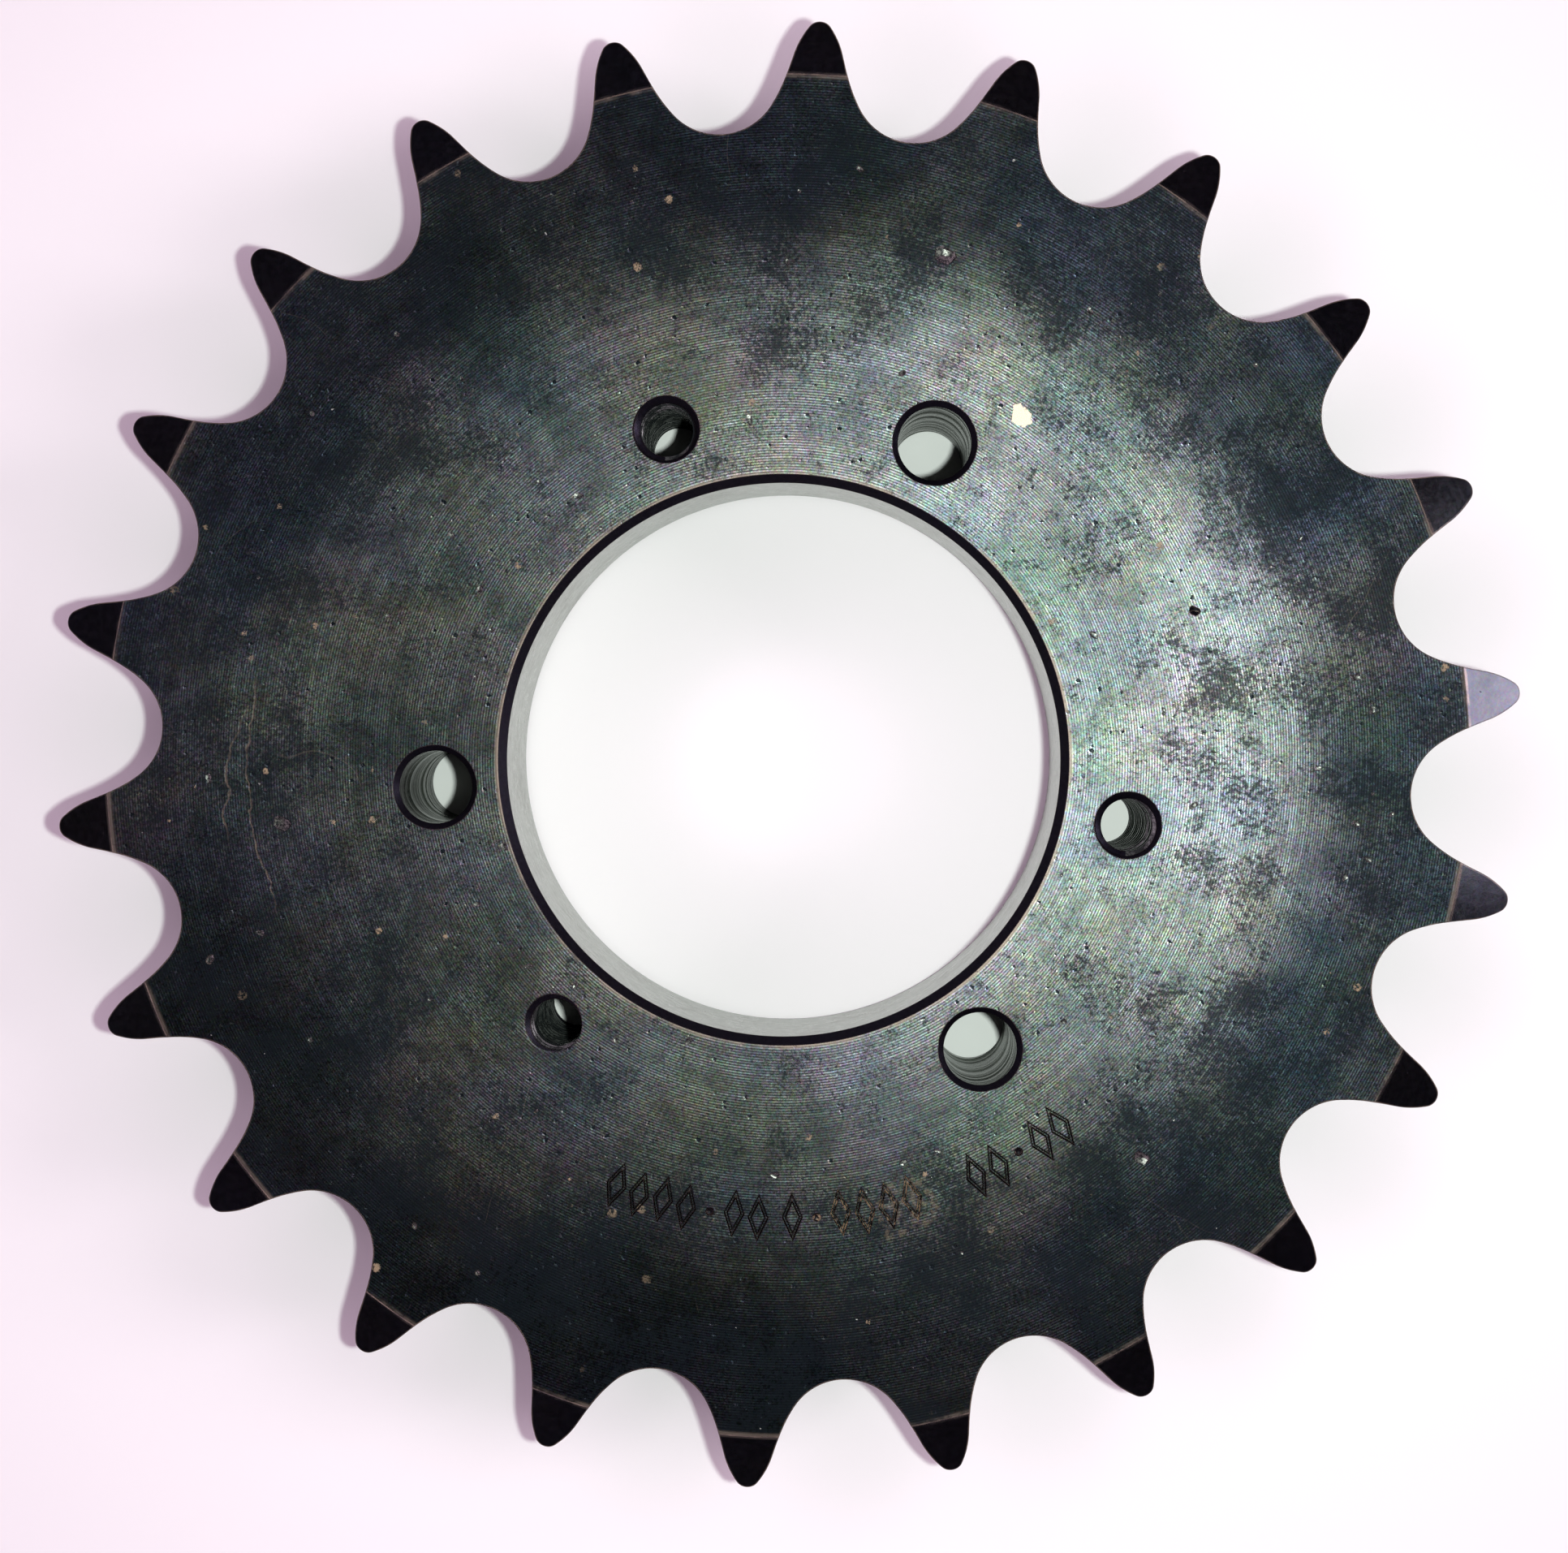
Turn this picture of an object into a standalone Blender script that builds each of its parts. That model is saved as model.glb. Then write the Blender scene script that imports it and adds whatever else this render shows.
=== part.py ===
"""Roller chain sprocket for a tapered bushing: one piece of steel, 22 teeth, 3/4 inch pitch.

It lies on its hub. The bore's axis is +Z, the hub's face is z = 0, and the plain face is on top.
The body is made as on the machines: a blank turned to its section, a toothed outline cut
through it by the hob, and then the bolt circle's drilled and tapped holes.
"""

from cmath import exp, phase, rect
from math import cos, pi, radians, sin, sqrt, tau

import bmesh
import bpy

MM = 0.001
INCH = 0.0254

# Chain and teeth
TOOTH_COUNT = 22
PITCH = 0.75 * INCH
ROLLER_DIAMETER = 0.46875 * INCH
TOOTH_WIDTH = 0.459 * INCH
TIP_RADIUS = 1.2 * MM
FIRST_TOOTH = radians(0.9)
CHAMFER_START_RADIUS = 66.4 * MM
CHAMFER_DEPTH = 2.38 * MM

# Hub and tapered bore; the bore is smallest at the plain face
LENGTH_THROUGH_BORE = 0.75 * INCH
HUB_DIAMETER = 3.75 * INCH
HUB_FILLET = 1.6 * MM
HUB_EDGE_BREAK = 1.0 * MM
BORE_RADIUS_PLAIN_FACE = 27.05 * MM
TAPER_PER_SIDE = 1 / 32
BORE_CHAMFER = 0.8 * MM

# Bolt circle: clearance holes for the clamping screws, tapped holes for the jack screws
BOLT_CIRCLE_RADIUS = 1.34375 * INCH
SCREW_SETS = 3
DRILLED_DIAMETER = 0.28125 * INCH
DRILLED_RIM_DIAMETER = 8.3 * MM
TAPPED_DIAMETER = 5.11 * MM
TAPPED_RIM_DIAMETER = 6.6 * MM
FIRST_DRILLED = radians(60)
TAPPED_AFTER_DRILLED = radians(45)

# Fineness of the faceted outlines
TURNED_STEPS = 132
HOLE_STEPS = 24
SEAT_STEPS = 5
FLANK_STEPS = 3
TOPPING_STEPS = 4
TIP_STEPS = 2
FILLET_STEPS = 4
CUTTER_OVERRUN = 2 * MM

# The pitch circle passes through the centres of the seated rollers
PITCH_RADIUS = PITCH / 2 / sin(pi / TOOTH_COUNT)


def black_oxide_steel():
    """Blackened steel: dark, fully metallic and half matt."""
    material = bpy.data.materials.new("black_oxide_steel")
    material.use_nodes = True
    surface = material.node_tree.nodes["Principled BSDF"]
    surface.inputs["Base Color"].default_value = (0.06, 0.065, 0.068, 1)
    surface.inputs["Roughness"].default_value = 0.42
    surface.inputs["Metallic"].default_value = 1
    return material


def arc(centre, radius, start, end, steps):
    """Points of an arc in the complex plane, without its last point."""
    return [centre + rect(radius, start + (end - start) * step / steps) for step in range(steps)]


def tooth_flank():
    """Outline from the bottom of a gap up to the tip of the tooth on the +X axis.

    The arcs are those of the standard roller chain tooth form: seating curve, working curve and
    topping curve, closed by a small round tip. They are placed with the gap's middle on the real
    axis, and then turned by half a tooth so that the tooth's middle lies on it.
    """
    half_tooth = pi / TOOTH_COUNT
    seat_radius = 0.5025 * ROLLER_DIAMETER + 0.0015 * INCH
    seat_angle = radians(35 + 60 / TOOTH_COUNT)
    working_angle = radians(18 - 56 / TOOTH_COUNT)

    seat_centre = PITCH_RADIUS + 0j
    seat_end = pi / 2 + seat_angle
    working_centre = seat_centre + rect(0.8 * ROLLER_DIAMETER, seat_angle - pi / 2)
    working_radius = seat_radius + 0.8 * ROLLER_DIAMETER
    working_end = seat_end - working_angle
    working_top = working_centre + rect(working_radius, working_end)

    topping_centre = seat_centre + rect(1.4 * ROLLER_DIAMETER, pi / 2 + half_tooth)
    topping_start = working_end - pi
    topping_radius = ((working_top - topping_centre) * exp(-1j * topping_start)).real

    turn = exp(-1j * half_tooth)
    centre_from_tooth = topping_centre * turn
    to_tip = topping_radius - TIP_RADIUS
    tip_centre = centre_from_tooth.real + sqrt(to_tip ** 2 - centre_from_tooth.imag ** 2)
    tip_start = phase(tip_centre - centre_from_tooth)
    topping_end = tip_start + half_tooth

    points = arc(seat_centre, seat_radius, pi, seat_end, SEAT_STEPS)
    points += arc(working_centre, working_radius, seat_end, working_end, FLANK_STEPS)
    points += [working_top]
    points += arc(topping_centre, topping_radius, topping_start, topping_end, TOPPING_STEPS)
    points = [point * turn for point in points]
    points += arc(tip_centre, TIP_RADIUS, tip_start, 0, TIP_STEPS)
    return points, tip_centre + TIP_RADIUS


def toothed_outline():
    """Closed outline of all teeth, anticlockwise, and the radius of the tips."""
    flank, tip_radius = tooth_flank()
    falling = [point.conjugate() for point in reversed(flank[1:])]
    tooth = flank + [complex(tip_radius)] + falling
    outline = []
    for number in range(TOOTH_COUNT):
        turn = rect(1, FIRST_TOOTH + tau * number / TOOTH_COUNT)
        outline += [point * turn for point in tooth]
    return outline, tip_radius


def add_object(name, mesh_builder):
    """Finish a bmesh with its faces pointing out, and link it as a named object."""
    bmesh.ops.recalc_face_normals(mesh_builder, faces=mesh_builder.faces)
    mesh = bpy.data.meshes.new(name)
    mesh_builder.to_mesh(mesh)
    mesh_builder.free()
    solid = bpy.data.objects.new(name, mesh)
    bpy.context.scene.collection.objects.link(solid)
    return solid


def turned(name, section, steps, place=0j):
    """Solid of revolution about an upright axis at place, from a closed section of (radius, z)."""
    builder = bmesh.new()
    rings = []
    for step in range(steps):
        direction = rect(1, tau * step / steps)
        ring = []
        for radius, height in section:
            point = place + radius * direction
            ring.append(builder.verts.new((point.real, point.imag, height)))
        rings.append(ring)
    for ring, following in zip(rings, rings[1:] + rings[:1]):
        for corner in range(len(section)):
            after = (corner + 1) % len(section)
            builder.faces.new((ring[corner], following[corner], following[after], ring[after]))
    return add_object(name, builder)


def drill(name, section, steps, place):
    """Cutter turned from an open (radius, z) line, with flat ends."""
    builder = bmesh.new()
    rings = []
    for radius, height in section:
        points = [place + rect(radius, tau * step / steps) for step in range(steps)]
        rings.append([builder.verts.new((point.real, point.imag, height)) for point in points])
    for ring, above in zip(rings, rings[1:]):
        for step in range(steps):
            after = (step + 1) % steps
            builder.faces.new((ring[step], ring[after], above[after], above[step]))
    builder.faces.new(rings[0])
    builder.faces.new(rings[-1])
    return add_object(name, builder)


def blank(tip_radius):
    """Turned blank: toothed plate with its two chamfers, hub with fillet, chamfered taper bore.

    Its rim is left a little outside the tooth tips, on the slope of the chamfers, because the
    hob cuts the tips.
    """
    top = LENGTH_THROUGH_BORE
    plate_under = top - TOOTH_WIDTH
    hub_radius = HUB_DIAMETER / 2
    bore_hub_face = BORE_RADIUS_PLAIN_FACE + top * TAPER_PER_SIDE
    chamfer_slope = CHAMFER_DEPTH / (tip_radius - CHAMFER_START_RADIUS)
    rim_radius = tip_radius + CUTTER_OVERRUN
    rim_drop = (rim_radius - CHAMFER_START_RADIUS) * chamfer_slope

    section = [
        (BORE_RADIUS_PLAIN_FACE + BORE_CHAMFER, top),
        (BORE_RADIUS_PLAIN_FACE + BORE_CHAMFER * TAPER_PER_SIDE, top - BORE_CHAMFER),
        (bore_hub_face - BORE_CHAMFER * TAPER_PER_SIDE, BORE_CHAMFER),
        (bore_hub_face + BORE_CHAMFER, 0),
        (hub_radius - HUB_EDGE_BREAK, 0),
        (hub_radius, HUB_EDGE_BREAK),
    ]
    for step in range(FILLET_STEPS + 1):
        angle = pi / 2 * step / FILLET_STEPS
        radius = hub_radius + HUB_FILLET * (1 - cos(angle))
        section.append((radius, plate_under - HUB_FILLET * (1 - sin(angle))))
    section += [
        (CHAMFER_START_RADIUS, plate_under),
        (rim_radius, plate_under + rim_drop),
        (rim_radius, top - rim_drop),
        (CHAMFER_START_RADIUS, top),
    ]
    return turned("sprocket", section, TURNED_STEPS)


def tooth_cutter(outline):
    """Prism of the toothed outline; what lies inside it stays."""
    builder = bmesh.new()
    low = [builder.verts.new((point.real, point.imag, -CUTTER_OVERRUN)) for point in outline]
    lower_face = builder.faces.new(low)
    wall = bmesh.ops.extrude_face_region(builder, geom=[lower_face])
    high = [item for item in wall["geom"] if isinstance(item, bmesh.types.BMVert)]
    bmesh.ops.translate(builder, verts=high, vec=(0, 0, LENGTH_THROUGH_BORE + 2 * CUTTER_OVERRUN))
    return add_object("tooth_outline", builder)


def hole_cutter(name, diameter, rim_diameter, angle):
    """Drill through the plate and hub with a 45 degree countersink at both faces."""
    top = LENGTH_THROUGH_BORE
    countersink = (rim_diameter - diameter) / 2
    radius = diameter / 2
    wide = rim_diameter / 2 + CUTTER_OVERRUN
    section = [
        (wide, -CUTTER_OVERRUN),
        (radius, countersink),
        (radius, top - countersink),
        (wide, top + CUTTER_OVERRUN),
    ]
    return drill(name, section, HOLE_STEPS, rect(BOLT_CIRCLE_RADIUS, angle))


def cut(solid, cutter, operation):
    """Boolean with a cutter that is a guide only."""
    cutter.hide_render = True
    cutter.display_type = "WIRE"
    boolean = solid.modifiers.new(cutter.name, "BOOLEAN")
    boolean.operation = operation
    boolean.object = cutter


def sprocket():
    """The whole sprocket from blank, teeth and bolt circle."""
    outline, tip_radius = toothed_outline()
    solid = blank(tip_radius)
    cut(solid, tooth_cutter(outline), "INTERSECT")
    for number in range(SCREW_SETS):
        drilled_at = FIRST_DRILLED + tau * number / SCREW_SETS
        tapped_at = drilled_at + TAPPED_AFTER_DRILLED
        drilled = hole_cutter(f"drilled_{number}", DRILLED_DIAMETER, DRILLED_RIM_DIAMETER, drilled_at)
        tapped = hole_cutter(f"tapped_{number}", TAPPED_DIAMETER, TAPPED_RIM_DIAMETER, tapped_at)
        cut(solid, drilled, "DIFFERENCE")
        cut(solid, tapped, "DIFFERENCE")
    solid.data.materials.append(black_oxide_steel())
    solid.data.shade_smooth()
    solid.data.set_sharp_from_angle(angle=radians(20))


for old in list(bpy.data.objects):
    bpy.data.objects.remove(old)
sprocket()
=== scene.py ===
import random
from cmath import phase, rect
from math import cos, pi, radians, sin, sqrt, tan, tau

import bpy
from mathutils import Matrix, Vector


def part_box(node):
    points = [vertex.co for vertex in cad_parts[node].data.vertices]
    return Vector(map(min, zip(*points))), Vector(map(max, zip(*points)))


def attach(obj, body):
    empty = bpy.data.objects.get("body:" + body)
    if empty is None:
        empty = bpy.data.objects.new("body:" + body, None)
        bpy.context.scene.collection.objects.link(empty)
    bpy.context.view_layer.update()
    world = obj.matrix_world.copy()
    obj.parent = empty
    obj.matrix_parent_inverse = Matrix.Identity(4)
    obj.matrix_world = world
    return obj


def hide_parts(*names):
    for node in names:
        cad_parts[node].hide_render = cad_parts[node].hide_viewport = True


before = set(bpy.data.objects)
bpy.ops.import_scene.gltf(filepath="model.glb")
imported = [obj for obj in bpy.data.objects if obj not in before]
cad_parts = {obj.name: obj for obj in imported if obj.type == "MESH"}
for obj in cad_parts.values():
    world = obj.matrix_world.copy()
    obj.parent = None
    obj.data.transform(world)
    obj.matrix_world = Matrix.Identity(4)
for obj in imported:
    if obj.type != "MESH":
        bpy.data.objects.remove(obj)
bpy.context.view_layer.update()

MM = 0.001
INCH = 0.0254

hub_face, plain_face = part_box("sprocket")[0].z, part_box("sprocket")[1].z


# ------------------------------------------------------------
# Camera. It looks almost straight down on the plain face from a little over 200 mm, so the far
# end of the bore and of each hole shows inside its near rim.
# ------------------------------------------------------------

CAMERA_PLACE = (5.45 * MM, 2.92 * MM, plain_face + 213.9 * MM)
CAMERA_TURN = (radians(-1.307), radians(1.361), radians(-4.400))
CAMERA_LENS = 50.44

bpy.ops.object.camera_add(location=CAMERA_PLACE, rotation=CAMERA_TURN)
camera = bpy.context.object
camera.name = "camera"
camera.data.lens = CAMERA_LENS
camera.data.clip_start = 0.01
bpy.context.scene.camera = camera
bpy.context.scene.view_settings.view_transform = "Standard"


# ------------------------------------------------------------
# Table top and light. A plain white sheet, a small greenish-white lamp beside the camera, and
# soft lilac fill from a ring of sky round it and from the pale foot of the room's walls. The
# ceiling is dark, and one window on the right shows in the chamfer of the tooth that faces it.
# ------------------------------------------------------------

SHEET_SIZE = 40.0
SHEET_GAP = 0.05 * MM
PAPER_COLOUR = (0.90, 0.89, 0.895, 1)
PAPER_ROUGHNESS = 0.9
PAPER_SHEEN = 0.1
LAMP_PLACE = (27.7 * MM, -4.7 * MM, plain_face + 217 * MM)
LAMP_SIZE = 8 * MM
LAMP_POWER = 0.42
LAMP_COLOUR = (0.85, 0.95, 0.87)
LILAC = (1.0, 0.73, 0.94)
RING_STRENGTH = 2.3
RING_FROM, RING_TO = radians(39), radians(50.5)
RING_EDGE = radians(5)
RING_SIDE = (-0.94, 0.34, 0)
RING_SIDE_GAIN = 0.7
LOW_SKY_STRENGTH = 0.045
ZENITH_STRENGTH = 0.03
WALL_STRENGTH = 0.62
WALL_TOP, WALL_EDGE = radians(74), radians(6)
WINDOW_STRENGTH = 11.5
WINDOW_COLOUR = (0.95, 0.80, 0.90)
WINDOW_SIDE, WINDOW_HEIGHT = radians(-1), radians(29)
WINDOW_RADIUS, WINDOW_EDGE = radians(8), radians(5)

bpy.ops.mesh.primitive_plane_add(size=SHEET_SIZE, location=(0, 0, hub_face - SHEET_GAP))
sheet = bpy.context.object
sheet.name = "table_sheet"
paper = bpy.data.materials.new("white_paper")
paper.use_nodes = True
paper_surface = paper.node_tree.nodes["Principled BSDF"]
paper_surface.inputs["Base Color"].default_value = PAPER_COLOUR
paper_surface.inputs["Roughness"].default_value = PAPER_ROUGHNESS
paper_surface.inputs["Specular IOR Level"].default_value = PAPER_SHEEN
sheet.data.materials.append(paper)

bpy.ops.object.light_add(type="AREA", location=LAMP_PLACE)
lamp = bpy.context.object
lamp.name = "lamp"
lamp.data.shape = "DISK"
lamp.data.size = LAMP_SIZE
lamp.data.energy = LAMP_POWER
lamp.data.color = LAMP_COLOUR


def put(tree, kind, *inputs, **settings):
    """Add a node, with its settings and its inputs in order, each a value or an output."""
    node = tree.nodes.new(kind)
    for name, value in settings.items():
        setattr(node, name, value)
    for socket, value in zip(node.inputs, inputs):
        if isinstance(value, bpy.types.NodeSocket):
            tree.links.new(value, socket)
        elif value is not None:
            socket.default_value = value
    return node


def sums(tree, operation, *inputs, clamp=False):
    return put(tree, "ShaderNodeMath", *inputs, operation=operation, use_clamp=clamp).outputs[0]


def times(tree, product, *others):
    """Multiply numbers together."""
    for other in others:
        product = sums(tree, "MULTIPLY", product, other)
    return product


def vector(tree, operation, *inputs):
    node = put(tree, "ShaderNodeVectorMath", *inputs, operation=operation)
    return node.outputs["Value" if operation in ("LENGTH", "DISTANCE", "DOT_PRODUCT") else 0]


def ramp(tree, value, low, high, to_low=0.0, to_high=1.0):
    """Ease a value from one range into another."""
    return put(tree, "ShaderNodeMapRange", value, low, high, to_low, to_high,
               interpolation_type="SMOOTHSTEP").outputs[0]


world = bpy.data.worlds.new("room")
bpy.context.scene.world = world
world.use_nodes = True
sky = world.node_tree
direction = put(sky, "ShaderNodeTexCoord").outputs["Generated"]
from_zenith = sums(sky, "ARCCOSINE", vector(sky, "DOT_PRODUCT", direction, (0, 0, 1)))
inner_edge = ramp(sky, from_zenith, RING_FROM - RING_EDGE / 2, RING_FROM + RING_EDGE / 2)
outer_edge = ramp(sky, from_zenith, RING_TO + RING_EDGE / 2, RING_TO - RING_EDGE / 2)
side = vector(sky, "DOT_PRODUCT", direction, RING_SIDE)
side = sums(sky, "MULTIPLY_ADD", side, RING_SIDE_GAIN, 1)
ring = times(sky, inner_edge, outer_edge, side, RING_STRENGTH)
rest = ramp(sky, from_zenith, RING_FROM, RING_TO, ZENITH_STRENGTH, LOW_SKY_STRENGTH)
walls = ramp(sky, from_zenith, WALL_TOP - WALL_EDGE / 2, WALL_TOP + WALL_EDGE / 2,
             0, WALL_STRENGTH)
rest = sums(sky, "ADD", rest, walls)
window_way = (cos(WINDOW_HEIGHT) * cos(WINDOW_SIDE), cos(WINDOW_HEIGHT) * sin(WINDOW_SIDE),
              sin(WINDOW_HEIGHT))
from_window = sums(sky, "ARCCOSINE", vector(sky, "DOT_PRODUCT", direction, window_way))
window = ramp(sky, from_window, WINDOW_RADIUS + WINDOW_EDGE, WINDOW_RADIUS, 0, WINDOW_STRENGTH)
fill_light = sky.nodes["Background"]
fill_light.inputs["Color"].default_value = (*LILAC, 1)
sky.links.new(sums(sky, "ADD", ring, rest), fill_light.inputs["Strength"])
window_light = put(sky, "ShaderNodeBackground", (*WINDOW_COLOUR, 1), window)
both_lights = put(sky, "ShaderNodeAddShader", fill_light.outputs[0], window_light.outputs[0])
sky.links.new(both_lights.outputs[0], sky.nodes["World Output"].inputs["Surface"])


# ------------------------------------------------------------
# Blank. The sprocket starts as a disc of medium carbon steel turned on a lathe: plate with a
# chamfer at both sides of the rim, short hub with a fillet, tapered bore.
# ------------------------------------------------------------

LENGTH_THROUGH_BORE = plain_face - hub_face
TOOTH_WIDTH = 0.459 * INCH
CHAMFER_START_RADIUS = 66.4 * MM
CHAMFER_SLOPE = 0.407
RIM_RADIUS = 74 * MM
HUB_RADIUS = 1.875 * INCH
HUB_FILLET = 1.6 * MM
HUB_EDGE_BREAK = 1.0 * MM
BORE_RADIUS = 27.05 * MM
TAPER_PER_SIDE = 1 / 32
BORE_CHAMFER = 0.8 * MM
LATHE_STEPS, FILLET_STEPS = 264, 6
WELD = 0.001 * MM

plate_under = plain_face - TOOTH_WIDTH


def only(piece):
    """Leave every mesh alone but this one."""
    bpy.ops.object.select_all(action="DESELECT")
    piece.select_set(True)
    bpy.context.view_layer.objects.active = piece


def start_line(name, x, y, z):
    """New object in edit mode with one selected point."""
    bpy.ops.object.select_all(action="DESELECT")
    bpy.ops.mesh.primitive_plane_add(size=MM, location=(0, 0, 0), enter_editmode=True)
    bpy.context.object.name = name
    bpy.ops.mesh.select_mode(type="VERT")
    bpy.ops.mesh.select_all(action="SELECT")
    bpy.ops.mesh.merge(type="CENTER")
    bpy.ops.transform.translate(value=(x, y, z))
    return bpy.context.object


def draw_on(dx, dy, dz):
    """Draw a straight line on from the selected point."""
    bpy.ops.mesh.extrude_region_move(TRANSFORM_OT_translate={"value": (dx, dy, dz)})


def weld():
    """Merge the corners that meet in the edit mesh, and leave it all selected."""
    bpy.ops.mesh.select_all(action="SELECT")
    bpy.ops.mesh.remove_doubles(threshold=WELD)
    bpy.ops.mesh.select_all(action="SELECT")


def close_up():
    """Weld the edit mesh together, and point its faces outwards."""
    weld()
    bpy.ops.mesh.normals_make_consistent(inside=False)
    bpy.ops.object.mode_set(mode="OBJECT")


def turn_on_lathe(name, section, steps):
    """Turn a closed section of (radius, height) corners about the bore's axis."""
    radius, height = section[0]
    piece = start_line(name, radius, 0, height)
    for after_radius, after_height in section[1:] + section[:1]:
        draw_on(after_radius - radius, 0, after_height - height)
        radius, height = after_radius, after_height
    weld()
    bpy.ops.mesh.spin(steps=steps, angle=tau, center=(0, 0, 0), axis=(0, 0, 1))
    close_up()
    return piece


bore_hub_end = BORE_RADIUS + LENGTH_THROUGH_BORE * TAPER_PER_SIDE
rim_drop = (RIM_RADIUS - CHAMFER_START_RADIUS) * CHAMFER_SLOPE
hub_fillet = []
for step in range(FILLET_STEPS + 1):
    angle = pi / 2 * step / FILLET_STEPS
    radius = HUB_RADIUS + HUB_FILLET * (1 - cos(angle))
    hub_fillet.append((radius, plate_under - HUB_FILLET * (1 - sin(angle))))
sprocket = turn_on_lathe("sprocket_steel", [
    (BORE_RADIUS + BORE_CHAMFER, plain_face),
    (BORE_RADIUS, plain_face - BORE_CHAMFER),
    (bore_hub_end, hub_face + BORE_CHAMFER),
    (bore_hub_end + BORE_CHAMFER, hub_face),
    (HUB_RADIUS - HUB_EDGE_BREAK, hub_face),
    (HUB_RADIUS, hub_face + HUB_EDGE_BREAK),
    *hub_fillet,
    (CHAMFER_START_RADIUS, plate_under),
    (RIM_RADIUS, plate_under + rim_drop),
    (RIM_RADIUS, plain_face - rim_drop),
    (CHAMFER_START_RADIUS, plain_face),
], LATHE_STEPS)


# ------------------------------------------------------------
# Teeth. A hob cuts 22 gaps of the standard roller chain form: an arc where the roller seats, a
# working curve, a topping curve, and a small round tip.
# ------------------------------------------------------------

TOOTH_COUNT = 22
PITCH = 0.75 * INCH
ROLLER_DIAMETER = 0.46875 * INCH
TIP_RADIUS = 1.2 * MM
FIRST_TOOTH = radians(0.9)
PITCH_RADIUS = PITCH / 2 / sin(pi / TOOTH_COUNT)
SEAT_STEPS, FLANK_STEPS, TOPPING_STEPS, TIP_STEPS = 16, 6, 14, 7
OVERRUN = 2 * MM


def sweep(centre, start, end, steps):
    """Draw an arc on from the selected point, from one direction about its centre to another."""
    bpy.ops.mesh.spin(steps=steps, angle=start - end, axis=(0, 0, 1),
                      center=(centre.real, centre.imag, 0))


def hob_gap():
    """Half a tooth gap as a line, from its bottom to the tip of the tooth on +X.

    The factors of the roller's diameter and the angles are those of the standard tooth form.
    """
    half_tooth = pi / TOOTH_COUNT
    seat_radius = 0.5025 * ROLLER_DIAMETER + 0.0015 * INCH
    seat_end = pi / 2 + radians(35 + 60 / TOOTH_COUNT)
    working_end = seat_end - radians(18 - 56 / TOOTH_COUNT)
    gap = rect(1, -half_tooth)

    seat = PITCH_RADIUS + 0j
    working = seat + rect(0.8 * ROLLER_DIAMETER, seat_end - pi)
    working_top = working + rect(seat_radius + 0.8 * ROLLER_DIAMETER, working_end)
    topping = seat + rect(1.4 * ROLLER_DIAMETER, pi / 2 + half_tooth)
    topping_start = working_end - pi
    topping_radius = ((working_top - topping) * rect(1, -topping_start)).real

    from_tooth = topping * gap
    to_tip = topping_radius - TIP_RADIUS
    tip = from_tooth.real + sqrt(to_tip ** 2 - from_tooth.imag ** 2)
    tip_start = phase(tip - from_tooth)

    bottom = (seat - seat_radius) * gap
    outline = start_line("hob", bottom.real, bottom.imag, 0)
    sweep(seat * gap, pi, seat_end, SEAT_STEPS)
    sweep(working * gap, seat_end, working_end, FLANK_STEPS)
    straight = (topping + rect(topping_radius, topping_start) - working_top) * gap
    draw_on(straight.real, straight.imag, 0)
    sweep(topping * gap, topping_start, tip_start + half_tooth, TOPPING_STEPS)
    sweep(complex(tip), tip_start, 0, TIP_STEPS)
    return outline


hob = hob_gap()
bpy.ops.mesh.select_all(action="SELECT")
bpy.ops.mesh.duplicate()
bpy.ops.transform.resize(value=(1, -1, 1), center_override=(0, 0, 0))
weld()
bpy.ops.transform.rotate(value=-FIRST_TOOTH, orient_axis="Z", center_override=(0, 0, 0))
bpy.ops.mesh.spin(steps=TOOTH_COUNT, dupli=True, angle=tau, center=(0, 0, 0), axis=(0, 0, 1))
weld()
bpy.ops.transform.translate(value=(0, 0, hub_face - OVERRUN))
bpy.ops.mesh.edge_face_add()
bpy.ops.mesh.extrude_region_move(
    TRANSFORM_OT_translate={"value": (0, 0, LENGTH_THROUGH_BORE + 2 * OVERRUN)})
close_up()


def machine(tool, operation="DIFFERENCE"):
    """Apply a tool to the steel with a boolean, and put the tool away."""
    only(sprocket)
    cut = sprocket.modifiers.new(tool.name, "BOOLEAN")
    cut.operation = operation
    cut.solver = "EXACT"
    cut.object = tool
    bpy.ops.object.modifier_apply(modifier=cut.name)
    bpy.data.objects.remove(tool)


machine(hob, "INTERSECT")


# ------------------------------------------------------------
# Drilled holes. Three clearance holes for the clamping screws, drilled right through and
# countersunk by hand, so their rims are a little ragged.
# ------------------------------------------------------------

BOLT_CIRCLE_RADIUS = 1.34375 * INCH
HOLES = 3
DRILLED_RADIUS = 0.140625 * INCH
DRILLED_RIM_RADIUS = 4.15 * MM
FIRST_DRILLED = radians(60)
DRILL_STEPS = 72
RAGGED = 0.07 * MM
FLARE = 1.5 * MM

drilled_places = [rect(BOLT_CIRCLE_RADIUS, FIRST_DRILLED + tau * n / HOLES) for n in range(HOLES)]


def select_ends(piece):
    """In edit mode, select the two flat ends of an upright tool."""
    bpy.ops.mesh.select_mode(type="FACE")
    bpy.ops.mesh.select_all(action="DESELECT")
    bpy.ops.object.mode_set(mode="OBJECT")
    for face in piece.data.polygons:
        face.select = abs(face.normal.z) > 0.9
    bpy.ops.object.mode_set(mode="EDIT")


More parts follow.
